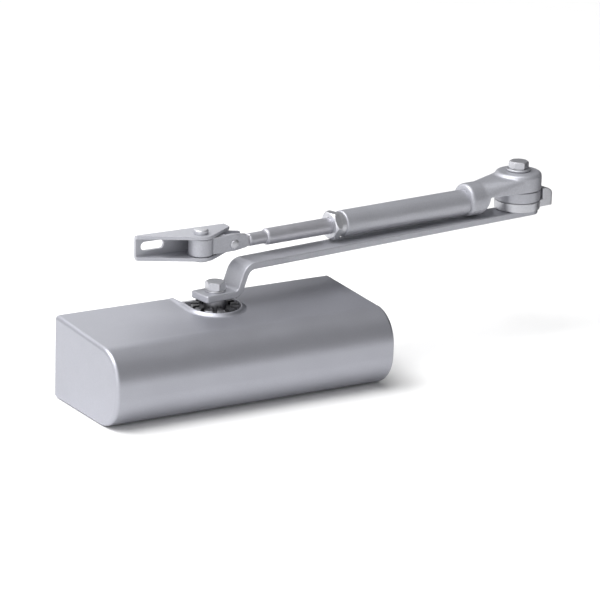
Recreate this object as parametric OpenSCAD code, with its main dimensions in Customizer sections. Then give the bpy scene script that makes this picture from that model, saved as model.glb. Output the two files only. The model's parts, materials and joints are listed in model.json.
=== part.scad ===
// Surface-mounted door closer with a folding arm: a rack-and-pinion closer under
// a D-shaped cover, a cranked main arm, a hold-open elbow, an adjustable forearm
// and a swivelling frame bracket.
// The origin is on the door face (Y = 0) at the pinion's X, at mid-height of the
// body. +X runs along the body towards the elbow, -Y points away from the door.

/* [Cover] */
// Length of the cover
cover_l = 222; // [216:1:240]
// Depth of the cover, from the door face to its nose
cover_d = 90; // [84:1:100]
// Height of the cover
cover_h = 60; // [58:1:64]
// Wall thickness of the cover
cover_wall = 2.2; // [1.6:0.2:3]
// Width of the notch in the cover's top
notch_w = 37; // [37:0.5:44]
// Depth of the notch, from the door face
notch_d = 45.5; // [45:0.1:50]

/* [Closer body] */
// Distance from the door face to the pinion's axis
pinion_y = 27.5; // [27:0.5:28]
// Length of the cast housing
housing_l = 180; // [170:2:180]
// Height of the cast housing
housing_h = 47; // [46:0.5:48]
// Radius of the piston
piston_r = 18; // [17.5:0.1:18]
// Thickness of the mounting plate
plate_t = 3; // [2:0.5:3]

/* [Rack and pinion] */
// Gear module
gear_m = 1.5; // [1.5]
// Number of teeth on the pinion
gear_z = 12; // [12]
// Height of the pinion's teeth
gear_h = 17; // [14:1:17]

/* [Main arm] */
// Distance from the pinion to the elbow
arm_l = 279; // [260:1:300]
// Direction of the main arm at rest, from +X towards the door
arm_a = 6.84; // [5:0.01:8]
// Width of the arm bar
arm_w = 19.5; // [18:0.5:20]
// Thickness of the arm bar
arm_t = 5; // [4.5:0.1:5]
// Height of the hub's underside
hub_z = 35.5; // [35:0.5:36]
// Height of the underside of the arm's straight part
bar_z = 54; // [53:0.5:54]

/* [Forearm] */
// Distance from the elbow to the bracket's pivot
fore_l = 285.8; // [280:0.2:300]
// Direction of the forearm at rest, from +X towards the door
fore_a = 5; // [4.5:0.1:5.5]
// Height of the forearm's axis
fore_z = 70.3; // [70.3:0.1:71]
// Radius of the forearm tube
tube_r = 9.6; // [9:0.1:10]
// Radius of the adjusting rod
rod_r = 5.9; // [5.5:0.1:6]

/* [Frame bracket] */
// Height of the bracket's web
bracket_h = 18; // [18:0.2:19]
// Thickness of the bracket's sheet
bracket_t = 2.4; // [2:0.1:2.5]
// Length of each fixing slot
slot_l = 18.5; // [14:0.5:18.5]
// Width of each fixing slot
slot_w = 6.4; // [5:0.1:7]

/* [Hidden] */
$fn = 64;

fit = 0.05;          // radial clearance of a shaft that turns or slides in its hole
snug = 0.02;         // radial clearance of a part that stays put in its hole
gap = 0.3;           // clearance between parts that pass each other
eps = 0.01;          // overlap that makes a boolean cut clean

paint = [0.72, 0.73, 0.76];
zinc = [0.78, 0.79, 0.80];
steel = [0.62, 0.63, 0.65];
cast = [0.45, 0.46, 0.48];
black = [0.10, 0.10, 0.11];

// ---- Shared shapes -------------------------------------------------------

// Points on an arc about c, from angle a0 to a1, in n steps
function arc(c, r, a0, a1, n = 12) =
    [for (i = [0:n]) c + r * [cos(a0 + (a1 - a0) * i / n), sin(a0 + (a1 - a0) * i / n)]];

// A cylinder with chamfered ends: c0 at the bottom, c1 at the top
module turned(r, h, c0 = 0, c1 = 0)
    rotate_extrude() polygon([[0, 0], [r - c0, 0], [r, c0], [r, h - c1], [r - c1, h], [0, h]]);

module ring(ro, ri, h, c = 0)
    difference() {
        turned(ro, h, c, c);
        translate([0, 0, -1]) cylinder(r = ri, h = h + 2);
    }

// A ring of round section
module seal_ring(r_mid, r_wire)
    rotate_extrude() translate([r_mid, 0]) circle(r = r_wire, $fn = 24);

// A hexagon head whose top edge is turned off
module hex_head(af, h)
    intersection() {
        cylinder(r = af / 2 / cos(30), h = h, $fn = 6);
        turned(af / 2 / cos(30) + eps, h, 0, af * 0.06);
    }

// A closed helical wire along +Z, its ends inside 0 and h
module coil(r_mid, r_wire, h, turns, sides = 8, steps = 18) {
    n = turns * steps;
    rise = h - 2 * r_wire - 2 * snug;
    points = [for (i = [0:n], j = [0:sides - 1])
        let (a = 360 * i / steps, b = 360 * j / sides, r = r_mid + r_wire * cos(b))
        [r * cos(a), r * sin(a), r_wire + snug + rise * i / n + r_wire * sin(b)]];
    skin = [for (i = [0:n - 1], j = [0:sides - 1])
        let (a = i * sides + j, b = i * sides + (j + 1) % sides)
        [a, a + sides, b + sides, b]];
    polyhedron(points = points, faces = concat(skin,
        [[for (j = [0:sides - 1]) j], [for (j = [sides - 1:-1:0]) n * sides + j]]), convexity = 10);
}

// ---- Frames of the moving parts ------------------------------------------

pinion = [0, -pinion_y];
elbow = pinion + arm_l * [cos(arm_a), sin(arm_a)];
pivot = elbow - fore_l * [cos(fore_a), sin(fore_a)];

// +X along the cylinder bore, which crosses the pinion's axis
module on_bore(x) translate([x, -pinion_y, 0]) rotate([0, 90, 0]) children();
module at_pinion(z = 0) translate([pinion.x, pinion.y, z]) children();
// +X along the main arm, from the pinion
module along_arm() at_pinion() rotate([0, 0, arm_a]) children();
module at_elbow(z) translate([elbow.x, elbow.y, z]) rotate([0, 0, arm_a]) children();
// +X along the forearm, from the elbow to the bracket's pivot
module along_forearm() translate([elbow.x, elbow.y, 0]) rotate([0, 0, 180 + fore_a]) children();
// +Z along the forearm's axis, starting a distance t from the elbow
module on_forearm(t) along_forearm() translate([t, 0, fore_z]) rotate([0, 90, 0]) children();
module at_pivot(z = 0) translate([pivot.x, pivot.y, z]) children();

// ---- Cover ---------------------------------------------------------------

nose_top_r = 23.5;   // radius of the cover's upper front edge
nose_low_r = 25.5;   // radius of the cover's lower front edge
nose_flat_z = 3;     // height of the top of the nose's flat band
notch_r = notch_w / 2; // radius of the notch's round end
lip_w = 2.6;         // width of the raised lip round the notch
lip_h = 2.2;         // height of the lip above the cover's top
lip_root = 3.2;      // depth of the lip's root below the rear edge of the cover's top

// Outline of the cover's end, as depth and height, drawn in by t
module cover_outline(t) {
    top = [cover_d - nose_top_r, nose_flat_z];
    low = [cover_d - nose_low_r, -cover_h / 2 + nose_low_r];
    rear = [0, cover_h / 2];
    reach = norm(top - rear);
    slope = acos(nose_top_r / reach) - atan2(top.x, rear.y - top.y);
    polygon(concat(
        [[0, -cover_h / 2 + t]],
        arc(low, nose_low_r - t, -90, 0, 14),
        arc(top, nose_top_r - t, 0, 90 + slope, 14),
        [[0, cover_h / 2 - t / cos(slope)]]));
}

// A solid with that outline, centred on X, from the door face forwards
module cover_solid(l, t)
    rotate([90, 0, -90]) translate([0, 0, -l / 2]) linear_extrude(l) cover_outline(t);

// Outline of the notch, open towards the door, drawn out by t
module notch_outline(t)
    polygon(concat(
        [[notch_w / 2 + t, 1], [-notch_w / 2 - t, 1]],
        arc([-notch_w / 2 + notch_r, -notch_d + notch_r], notch_r + t, 180, 270, 8),
        arc([notch_w / 2 - notch_r, -notch_d + notch_r], notch_r + t, 270, 360, 8)));

stud_x = 105;        // where the plate's end tabs stop and the snap studs start
stud_y = 14;         // distance of the snap studs from the door face
stud_r = 2.5;        // radius of a snap stud

module cover() color(paint) {
    inner = cover_l / 2 - cover_wall;
    difference() {
        union() {
            difference() {
                cover_solid(cover_l, 0);
                translate([0, 1, 0]) cover_solid(2 * inner, cover_wall);
            }
            intersection() {
                cover_solid(2 * inner + 1, -lip_h);
                translate([0, 0, cover_h / 2 - lip_root]) linear_extrude(lip_root + lip_h)
                    difference() {
                        notch_outline(lip_w);
                        notch_outline(-eps);
                    }
            }
            for (s = [-1, 1])
                translate([s * (inner + eps), -stud_y, 0]) rotate([0, -s * 90, 0])
                    cylinder(r = stud_r + 2.2, h = 2.4);
        }
        translate([0, 0, cover_h / 2 - 8]) linear_extrude(20) notch_outline(0);
        for (s = [-1, 1])
            translate([s * (inner - 4), -stud_y, 0]) rotate([0, s * 90, 0])
                cylinder(r = stud_r + 0.1, h = 3.9);
        translate([-cover_l, -0.2, -cover_h]) cube([2 * cover_l, 5, 2 * cover_h]);
    }
}

// ---- Mounting plate and housing ------------------------------------------

plate_h = cover_h - 7;   // height of the mounting plate
door_hole = [97, 20.5];
door_hole_r = 2.75;
body_hole = [97, 7];
body_screw_r = 2.5;
flange_x = 103;      // half length of the housing over its flanges
flange_t = 6;

// Something at each corner of a rectangle in X and Z
module at_corners(p) for (sx = [-1, 1], sz = [-1, 1]) translate([sx * p.x, 0, sz * p.y]) children();

module mounting_plate() color(steel)
    difference() {
        union() {
            translate([-stud_x, -plate_t, -plate_h / 2]) cube([2 * stud_x, plate_t, plate_h]);
            for (s = [-1, 1]) {
                translate([s * (stud_x - 0.75), -11, 0]) cube([1.5, 20, 18], center = true);
                translate([s * (stud_x - eps), -stud_y, 0]) rotate([0, s * 90, 0])
                    turned(stud_r, 3, 0, 0.6);
            }
        }
        at_corners(door_hole) translate([0, 1, 0]) rotate([90, 0, 0])
            cylinder(r = door_hole_r, h = plate_t + 2);
        at_corners(body_hole) translate([0, 1, 0]) rotate([90, 0, 0])
            cylinder(r = body_screw_r + snug, h = plate_t + 2);
    }

bore_r = piston_r + fit;
housing_front = 50.5;      // distance of the housing's front face from the door face
valve_y = 45;              // distance of the regulating valves from the door face
valve_z = 18;
valve_r = 3.5;
duct_r = 1.5;              // radius of the oil ducts
seat_r = 10.4;             // outer radius of the upper bearing
thread_r = 15;             // radius of the gland nut's thread
boss_z = 25.5;             // top of the pinion boss
lower_r = 10;              // outer radius of the lower bearing and cap
seat_z = 20.6;             // top of the upper bearing's seat

// Oil duct along a valve's axis, with two ports into the cylinder
module oil_duct(s, ports) {
    translate([-housing_l / 2 - 1, -valve_y, s * valve_z]) rotate([0, 90, 0])
        cylinder(r = valve_r + fit, h = 26);
    translate([-70, -valve_y, s * valve_z]) rotate([0, 90, 0]) cylinder(r = duct_r, h = ports[1] + 71);
    for (x = ports)
        translate([x, -valve_y, s * valve_z])
            rotate([s * (90 + atan2(valve_z, valve_y - pinion_y)), 0, 0]) rotate([s > 0 ? 180 : 0, 0, 0])
            cylinder(r = duct_r - 0.3, h = 12);
}

module housing() color(cast)
    difference() {
        union() {
            translate([-housing_l / 2, 0, 0]) rotate([90, 0, 90]) linear_extrude(housing_l)
                polygon([[-plate_t, -housing_h / 2], [-plate_t, housing_h / 2],
                         [-housing_front + 3, housing_h / 2], [-housing_front, housing_h / 2 - 3],
                         [-housing_front, 3 - housing_h / 2], [-housing_front + 3, -housing_h / 2]]);
            translate([-flange_x, -plate_t - flange_t, -13]) cube([2 * flange_x, flange_t, 26]);
            at_pinion(-boss_z) cylinder(r = lower_r + 3, h = 6);
            at_pinion(boss_z - 6) cylinder(r = thread_r + 3, h = 6);
        }
        on_bore(-housing_l / 2 - 1) cylinder(r = bore_r, h = housing_l + 2);
        at_pinion(-boss_z - 1) cylinder(r = lower_r + snug, h = boss_z);
        at_pinion(0) cylinder(r = seat_r + snug, h = boss_z + 1);
        at_pinion(seat_z) cylinder(r = thread_r + snug, h = 10);
        at_corners(body_hole) translate([0, -1, 0]) rotate([90, 0, 0])
            cylinder(r = body_screw_r + 0.1, h = 12);
        oil_duct(1, [-60, 66]);
        oil_duct(-1, [-54, 60]);
    }

// Four cap screws that hold the housing on its plate
module body_screws() color(zinc)
    at_corners(body_hole) translate([0, -plate_t - flange_t, 0]) rotate([90, 0, 0])
        difference() {
            union() {
                turned(4.25, 5, 0, 0.5);
                translate([0, 0, -8.5]) cylinder(r = body_screw_r, h = 9);
            }
            translate([0, 0, 2.4]) cylinder(r = 4 / 2 / cos(30), h = 4, $fn = 6);
        }

// ---- Pieces in the ends of the cylinder ----------------------------------

plug_t = 12;               // thickness of an end plug
plug_groove = 5.5;         // distance of a plug's seal from its outer face
pocket_r = 14.8;           // radius of the spring's pockets
seal_wire = 1.28;
seal_mid = bore_r - seal_wire - snug;

module end_plug(pocket)
    difference() {
        turned(piston_r, plug_t, 0.8, 0.5);
        translate([0, 0, plug_groove - 1.4]) ring(bore_r + 1, seal_mid - seal_wire - 0.1, 2.8);
        translate([0, 0, -1]) cylinder(r = 10 / 2 / cos(30), h = 5, $fn = 6);
        translate([0, 0, plug_t - pocket]) cylinder(r = pocket_r, h = pocket + 1);
    }

spring_pocket = 5;         // depth of the spring's pocket in its end plug

module spring_end_plug() color(steel) on_bore(-housing_l / 2) end_plug(spring_pocket);
module pressure_end_plug() color(steel)
    on_bore(housing_l / 2) mirror([0, 0, 1]) end_plug(1);
module plug_seals() color(black)
    for (s = [-1, 1]) on_bore(s * (housing_l / 2 - plug_groove)) seal_ring(seal_mid, seal_wire);

// ---- Pinion --------------------------------------------------------------

pitch_r = gear_m * gear_z / 2;
press_a = 20;              // pressure angle
base_r = pitch_r * cos(press_a);
tip_r = pitch_r + 1.3;
root_r = pitch_r - 1.4;
backlash = 0.12;           // play on each flank
journal_r = 7;             // radius of the pinion's lower journal
shaft_r = 8;               // radius of the pinion's upper shaft
square = 11;               // width of the pinion's square end
arm_screw_r = 4;
seal_z = 24.2;             // top of the shaft seal

// Half the angle of a tooth at radius r, on an involute flank
function involute(r) = tan(acos(base_r / r)) * 180 / PI - acos(base_r / r);
function half_tooth(r) =
    90 / gear_z - backlash / pitch_r * 180 / PI + involute(pitch_r) - involute(max(r, base_r));

module pinion_teeth() {
    flank = [for (i = [0:6]) base_r + (tip_r - base_r) * i / 6];
    for (k = [0:gear_z - 1])
        rotate(360 / gear_z * (k + 0.5) - 90)
            polygon(concat(
                [[0, 0], root_r * [cos(half_tooth(root_r)), -sin(half_tooth(root_r))]],
                [for (r = flank) r * [cos(half_tooth(r)), -sin(half_tooth(r))]],
                [for (i = [6:-1:0]) let (r = flank[i]) r * [cos(half_tooth(r)), sin(half_tooth(r))]],
                [root_r * [cos(half_tooth(root_r)), sin(half_tooth(root_r))]]));
}

module pinion_shaft() color(steel)
    at_pinion()
        difference() {
            union() {
                translate([0, 0, -21]) turned(journal_r, 21, 0.8);
                translate([0, 0, -gear_h / 2]) linear_extrude(gear_h) {
                    circle(r = root_r);
                    pinion_teeth();
                }
                cylinder(r = shaft_r, h = hub_z - snug);
                translate([-square / 2, -square / 2, hub_z - 4]) cube([square, square, 4 + arm_t - 0.3]);
            }
            translate([0, 0, 24]) cylinder(r = arm_screw_r + snug, h = 30);
        }

module upper_bearing() color(steel) at_pinion(12) ring(seat_r, shaft_r + fit, seat_z - 12.1, 0.4);
module lower_bearing() color(steel)
    at_pinion(-21) ring(lower_r, journal_r + fit, 21 - gear_h / 2 - 0.8, 0.4);

module shaft_seal() color(black)
    at_pinion(seat_z + 0.1)
        difference() {
            ring(12.3, shaft_r + fit, seal_z - seat_z - 0.2, 0.3);
            translate([0, 0, 1.6]) ring(10.8, shaft_r + 1.6, 5);
        }

ring_r = 17;               // outer radius of the gland nut's castellated head
ring_top = 31;
slots = 12;

// The castellated nut that closes the housing over the pinion
module gland_nut() color([0.20, 0.20, 0.21])
    at_pinion()
        difference() {
            union() {
                translate([0, 0, seat_z + 0.1]) cylinder(r = thread_r, h = 6);
                translate([0, 0, boss_z + 0.1]) turned(ring_r, ring_top - boss_z - 0.1, 0, 0.6);
            }
            translate([0, 0, seat_z - 1]) cylinder(r = 12.4, h = seal_z - seat_z + 1);
            cylinder(r = shaft_r + gap, h = ring_top + 1);
            translate([0, 0, ring_top - 2.5]) cylinder(r = 11.5, h = 4);
            for (k = [0:slots - 1])
                rotate(360 / slots * k) translate([10, -1.7, ring_top - 2.5]) cube([10, 3.4, 5]);
        }

module lower_cap() color(steel)
    at_pinion(-boss_z)
        difference() {
            turned(lower_r, 4.2, 0.5, 0);
            translate([0, 0, -1]) cylinder(r = 8 / 2 / cos(30), h = 3, $fn = 6);
        }

// ---- Piston --------------------------------------------------------------

piston_x = [-24, 54];      // ends of the piston at rest
window_x = [-12.7, 39.4];  // ends of its window, which passes over the pinion
rack_tip = pitch_r - 1;    // distance of the rack's tooth tips from the pinion's axis
rack_root = pitch_r + 1.7;
crown_pocket = 9;          // depth of the spring's pocket in the piston
valve_seat_r = 3;
ball_r = 1.8;
piston_ring_x = [-20.5, 48];

module rack_tooth()
    polygon([for (p = [[-1, rack_root + eps], [-1, rack_tip], [1, rack_tip], [1, rack_root + eps]])
        [p.x * (gear_m * PI / 4 - backlash + (p.y - pitch_r) * tan(press_a)), -p.y]]);

module piston() color(steel)
    union() {
        difference() {
            on_bore(piston_x[0]) turned(piston_r, piston_x[1] - piston_x[0], 1, 1);
            translate([window_x[0], -pinion_y - rack_root, -30])
                cube([window_x[1] - window_x[0], rack_root + 11.2, 60]);
            on_bore(piston_x[0] - 1) cylinder(r = pocket_r, h = crown_pocket + 1);
            on_bore(window_x[1] - 1) cylinder(r = valve_seat_r + snug, h = 20);
            for (x = piston_ring_x) on_bore(x - 1.3) ring(piston_r + 1, piston_r - 1.5, 2.6);
        }
        translate([0, -pinion_y, -gear_h / 2]) linear_extrude(gear_h)
            for (k = [-2:8]) translate([k * gear_m * PI, 0]) rack_tooth();
    }

module piston_rings() color(black)
    for (x = piston_ring_x) on_bore(x - 1.2) ring(piston_r + 0.02, piston_r - 1.4, 2.4);

// Cartridge of the check valve, with a seat, a ball chamber and a retaining lip
module check_valve_seat() color([0.75, 0.62, 0.35])
    on_bore(window_x[1] + 2)
        difference() {
            turned(valve_seat_r, 12, 0.3, 0.3);
            translate([0, 0, 3]) cylinder(r = ball_r + fit, h = 6.5);
            translate([0, 0, -1]) cylinder(r = 1.1, h = 14);
        }

module check_ball() color(zinc) on_bore(window_x[1] + 5 + ball_r + fit) sphere(r = ball_r);

spring_x = [-housing_l / 2 + plug_t - spring_pocket, piston_x[0] + crown_pocket];

module outer_spring() color(steel)
    on_bore(spring_x[0]) coil(12.2, 1.9, spring_x[1] - spring_x[0], 8);
module inner_spring() color(steel)
    on_bore(spring_x[0]) mirror([0, 1, 0]) coil(6.8, 1.2, spring_x[1] - spring_x[0], 11, 6, 14);

// ---- Regulating valves ---------------------------------------------------

// A needle valve screwed in from the housing's end, with a slotted head
module needle_valve(s) color([0.75, 0.62, 0.35])
    translate([-housing_l / 2 - 1, -valve_y, s * valve_z]) rotate([0, 90, 0])
        difference() {
            union() {
                turned(valve_r, 19, 0.4, 0);
                translate([0, 0, 19 - eps]) rotate_extrude()
                    polygon([[0, 0], [valve_r, 0], [valve_r - 1.9, 4], [0, 4]]);
            }
            translate([-5, -0.5, -1]) cube([10, 1, 2.3]);
        }

module closing_speed_valve() needle_valve(1);
module latching_speed_valve() needle_valve(-1);

// ---- Main arm ------------------------------------------------------------

hub_back = 14;             // reach of the hub's square end behind the pinion
ramp_a = 68;               // steepness of the crank between hub and bar
ramp_mid = 18;             // distance of the crank's middle from the pinion
hub_bend = 6;              // radius of the bend at the hub, on the arm's mid-line
bar_bend = 9;              // radius of the bend at the bar
elbow_hole_r = 4;

// Mid-line of the cranked bar in X and Z: a point and the direction there, side by side
crank_rise = bar_z - hub_z;
crank_run = crank_rise / tan(ramp_a);
low_z = hub_z + arm_t / 2;
hub_end = ramp_mid - crank_run / 2 - hub_bend * tan(ramp_a / 2);
bar_start = ramp_mid + crank_run / 2 + bar_bend * tan(ramp_a / 2);

// Edge of the bar, drawn off the mid-line by s
function crank_edge(s) = concat(
    [[-hub_back, low_z + s]],
    arc([hub_end, low_z + hub_bend], hub_bend - s, -90, ramp_a - 90, 8),
    arc([bar_start, low_z + crank_rise - bar_bend], bar_bend + s, 90 + ramp_a, 90, 10),
    [[arm_l + arm_w, low_z + crank_rise + s]]);

function backwards(v) = [for (i = [len(v) - 1:-1:0]) v[i]];

module main_arm() color(paint)
    along_arm()
        difference() {
            intersection() {
                translate([0, arm_w / 2, 0]) rotate([90, 0, 0]) linear_extrude(arm_w)
                    polygon(concat(crank_edge(arm_t / 2), backwards(crank_edge(-arm_t / 2))));
                linear_extrude(100) {
                    translate([-hub_back, -arm_w / 2]) square([arm_l + hub_back + 8, arm_w]);
                    translate([arm_l + 8, 0]) circle(r = arm_w / 2);
                }
            }
            rotate([0, 0, -arm_a])
                translate([-square / 2 - snug, -square / 2 - snug, hub_z - 1])
                    cube([square + 2 * snug, square + 2 * snug, arm_t + 2]);
            translate([arm_l, 0, bar_z - 1]) cylinder(r = elbow_hole_r + snug, h = arm_t + 2);
        }

head_af = 13;              // width across flats of the two hexagon heads
screw_washer_t = 1.1;      // thickness of the lock washer under the arm's screw
screw_washer_z = hub_z + arm_t + snug;
screw_head_z = screw_washer_z + screw_washer_t;

module arm_washer() color(zinc)
    at_pinion(screw_washer_z) ring(7.1, arm_screw_r + 0.2, screw_washer_t - snug, 0.2);
module arm_screw() color(zinc)
    along_arm() {
        translate([0, 0, screw_head_z]) rotate(15) hex_head(head_af, 6);
        translate([0, 0, 26]) turned(arm_screw_r, screw_head_z - 26 + 1, 0.6, 0);
    }

// ---- Elbow ---------------------------------------------------------------

bar_top = bar_z + arm_t;
cam_r = 17;                // radius of the hold-open plate and disc
bush_r = 7;
plate_z = [bar_top + gap, bar_top + 6.8];
disc_z = [bar_top + 7, bar_top + 14.9];
boss_r = 17.5;
forging_z = [disc_z[1] + gap, disc_z[1] + 13.6];
elbow_head_z = forging_z[1] + 1.9;
lug_w = 18;                // width of the lug
lug_reach = 28;            // its reach from the elbow
lug_top = disc_z[1] - 0.6;
lug_r = 8;                 // radius of its shoulder
detent_at = [0, 12];       // place of the detent ball beside the elbow's axis
detent_r = 2.9;

module elbow_bolt() color(zinc)
    at_elbow(0) {
        translate([0, 0, elbow_head_z]) rotate(22) hex_head(head_af, 5.6);
        translate([0, 0, bar_z + 0.3]) turned(elbow_hole_r, elbow_head_z - bar_z + 1, 0.6, 0);
    }

module elbow_washer() color(zinc)
    at_elbow(forging_z[1] + gap) ring(9, elbow_hole_r + 0.1, 1.55, 0.3);

module elbow_bush() color(steel)
    at_elbow(bar_top) ring(bush_r, elbow_hole_r + snug, forging_z[1] + 0.25 - bar_top);

// The lower disc, with the lug that turns the hold-open angle
module hold_open_plate() color(zinc)
    at_elbow(0)
        difference() {
            union() {
                translate([0, 0, plate_z[0]]) turned(cam_r, plate_z[1] - plate_z[0], 0.4, 0.4);
                intersection() {
                    translate([0, lug_w / 2, 0]) rotate([90, 0, 0]) linear_extrude(lug_w)
                        polygon(concat(
                            [[cam_r + 0.5, plate_z[1] - 1], [10, plate_z[1] - 1]],
                            [[10, plate_z[0]], [lug_reach, plate_z[0]]],
                            arc([lug_reach - lug_r, lug_top - lug_r], lug_r, 0, 90, 8),
                            [[cam_r + 0.5, lug_top]]));
                    linear_extrude(100) offset(r = 2.5) offset(delta = -2.5)
                        translate([-lug_reach, -lug_w / 2]) square([2 * lug_reach, lug_w]);
                }
            }
            cylinder(r = bush_r + fit, h = 100);
        }

// The upper disc, with a dimple that catches the detent ball
module hold_open_disc() color(steel)
    at_elbow(0)
        difference() {
            translate([0, 0, disc_z[0]]) turned(cam_r, disc_z[1] - disc_z[0], 0.6, 0.6);
            cylinder(r = bush_r + fit, h = 100);
            rotate(176) translate([norm(detent_at), 0, disc_z[1] + 1.7]) sphere(r = 3.5);
        }

module detent_ball() color(zinc)
    along_forearm() translate([detent_at.x, detent_at.y, disc_z[1] + detent_r + fit]) sphere(r = detent_r);
module detent_spring() color(steel)
    along_forearm() translate([detent_at.x, detent_at.y, disc_z[1] + 2 * detent_r + 2 * fit])
        coil(2, 0.35, 4.4, 3, 6, 12);

// ---- Forearm -------------------------------------------------------------

socket_r = 12.4;           // radius of the forging's socket for the tube
socket_up = 1.6;           // how far the socket sits above the tube's axis
socket_t = [38, 52];       // its reach from the elbow
undercut_t = 35;           // where the forging's underside rises over the discs
tube_t = [41, 164.4];      // ends of the tube, from the elbow
insert_t = 168.8;          // end of the threaded insert
nut_t = [169, 174.8];      // ends of the lock nut
shoulder_t = 229.5;        // end of the rod's full diameter
neck_t = 246.5;            // end of its neck
neck_r = 4.6;
rivet_t = fore_l - 25;     // place of the rivet that joins rod and fork
nose_r = 12;               // reach of the fork's cheeks round the rivet

module forearm_fitting() color(paint)
    difference() {
        union() {
            along_forearm() translate([0, 0, forging_z[0]])
                turned(boss_r, forging_z[1] - forging_z[0], 0.5, 2.6);
            hull() {
                along_forearm() translate([0, 0, forging_z[0] + 0.6])
                    cylinder(r = boss_r - 0.4, h = forging_z[1] - forging_z[0] - 3.4, $fn = 48);
                on_forearm(socket_t[0]) translate([-socket_up, 0, 0])
                    cylinder(r = socket_r - 0.3, h = 2, $fn = 32);
            }
            on_forearm(socket_t[0]) translate([-socket_up, 0, 0])
                turned(socket_r, socket_t[1] - socket_t[0], 1.2, 2.6);
        }
        along_forearm() {
            translate([0, 40, 0]) rotate([90, 0, 0]) linear_extrude(80)
                polygon([[-40, 0], [-40, forging_z[0] - eps], [undercut_t, forging_z[0] - eps],
                         [undercut_t + 3.5, bar_top + 1.4], [100, bar_top + 1.4], [100, 0]]);
            cylinder(r = bush_r + fit, h = 120);
            translate([detent_at.x, detent_at.y, disc_z[1]]) cylinder(r = detent_r + fit, h = 10.4);
        }
        on_forearm(tube_t[0] - 1) cylinder(r = tube_r + snug, h = 40);
    }

module forearm_tube() color(paint)
    on_forearm(tube_t[0])
        difference() {
            turned(tube_r, tube_t[1] - tube_t[0], 0.5, 1.2);
            translate([0, 0, 4]) cylinder(r = 7, h = 200);
        }

module tube_insert() color(zinc)
    on_forearm(tube_t[1])
        difference() {
            union() {
                translate([0, 0, -22]) turned(7 - snug, 22 + eps, 0.5, 0);
                turned(tube_r - 0.7, insert_t - tube_t[1], 0, 0.5);
            }
            translate([0, 0, -30]) cylinder(r = rod_r + fit, h = 60);
        }

module lock_nut() color(zinc)
    on_forearm(nut_t[0])
        difference() {
            intersection() {
                rotate(30) cylinder(r = 19 / 2 / cos(30), h = nut_t[1] - nut_t[0], $fn = 6);
                turned(11.05, nut_t[1] - nut_t[0], 0.5, 1.8);
            }
            translate([0, 0, -1]) cylinder(r = rod_r + fit, h = 30);
        }

module adjusting_rod() color(zinc)
    difference() {
        union() {
            on_forearm(75) turned(rod_r, shoulder_t - 75, 0.8, 0);
            on_forearm(shoulder_t - eps) rotate_extrude()
                polygon([[0, 0], [rod_r, 0], [neck_r + 0.2, 3.2], [neck_r, 4.5], [0, 4.5]]);
            on_forearm(shoulder_t + 4) turned(neck_r, neck_t - shoulder_t - 4, 0, 2);
            along_forearm() translate([0, 2.75, fore_z]) rotate([90, 0, 0]) linear_extrude(5.5) {
                translate([shoulder_t + 6, -3.8]) square([rivet_t - shoulder_t - 6, 7.6]);
                translate([rivet_t, 0]) circle(r = 4.5);
            }
        }
        on_rivet(-10) cylinder(r = rivet_r + fit, h = 20);
    }

// ---- Swivel fork ---------------------------------------------------------

rivet_r = 2.5;
bracket_z = 63;            // underside of the bracket
ear_gap = [bracket_z + bracket_t, bracket_z + bracket_h - bracket_t];
fork_z = [ear_gap[0] + gap, ear_gap[1] - gap];
barrel_r = 8.7;
cheek_w = 12;              // width of the fork over its cheeks
nose_w = 9;                // width of its nose
cheek_gap = 6.1;
pin_r = 4;

// Across the forearm at the rivet, from the right-hand side
module on_rivet(y) along_forearm() translate([rivet_t, y, fore_z]) rotate([-90, 0, 0]) children();

module swivel_fork() color(paint)
    difference() {
        union() {
            at_pivot(fork_z[0]) turned(barrel_r, fork_z[1] - fork_z[0], 0.5, 0.5);
            intersection() {
                along_forearm() translate([0, cheek_w / 2, 0]) rotate([90, 0, 0]) linear_extrude(cheek_w)
                    polygon([[fore_l, fork_z[0] + 0.2], [fore_l, fork_z[1] - 0.2],
                             [rivet_t, fork_z[1] - 0.2], [rivet_t - nose_r, fore_z + 6.2],
                             [rivet_t - nose_r, fore_z - 3.6], [rivet_t, fork_z[0] + 0.2]]);
                along_forearm() linear_extrude(100)
                    polygon([[fore_l, -cheek_w / 2], [fore_l, cheek_w / 2],
                             [rivet_t - 2, cheek_w / 2], [rivet_t - nose_r, nose_w / 2],
                             [rivet_t - nose_r, -nose_w / 2], [rivet_t - 2, -cheek_w / 2]]);
                union() {
                    on_rivet(-20) cylinder(r = nose_r, h = 40);
                    along_forearm() translate([rivet_t, -20, 50]) cube([40, 40, 40]);
                }
            }
        }
        at_pivot() cylinder(r = pin_r + fit, h = 100);
        along_forearm() translate([rivet_t - 40, -cheek_gap / 2, 50]) cube([46.5, cheek_gap, 50]);
        on_rivet(-20) cylinder(r = rivet_r + snug, h = 40);
    }

module fork_rivet() color(zinc)
    for (s = [0, 1])
        on_rivet(0) mirror([0, 0, s]) {
            cylinder(r = rivet_r, h = cheek_w / 2 + 0.5);
            translate([0, 0, cheek_w / 2 + snug]) turned(3.6, 1.5, 0, 0.7);
        }

// ---- Frame bracket -------------------------------------------------------

web_x = [-43.5, 27];       // ends of the web, from the pivot
web_y = [14.6, 17];        // its front and rear faces, from the pivot
ear_r = 9.5;               // radius of the ears round the pin
slot_x = [-30.25, 13.75];  // centres of the slots, from the pivot
slot_z = bracket_h / 2 + 0.3;

module ear() {
    circle(r = ear_r);
    // the slanted edges touch the circle at these angles
    left = 180 + 62;
    right = -52;
    polygon([[web_x[0], web_y[1]], [web_x[0], web_y[0] - 1.6], ear_r * [cos(left), sin(left)],
             ear_r * [cos(right), sin(right)], [web_x[1], web_y[0] - 7.6], [web_x[1], web_y[1]]]);
}

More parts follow.
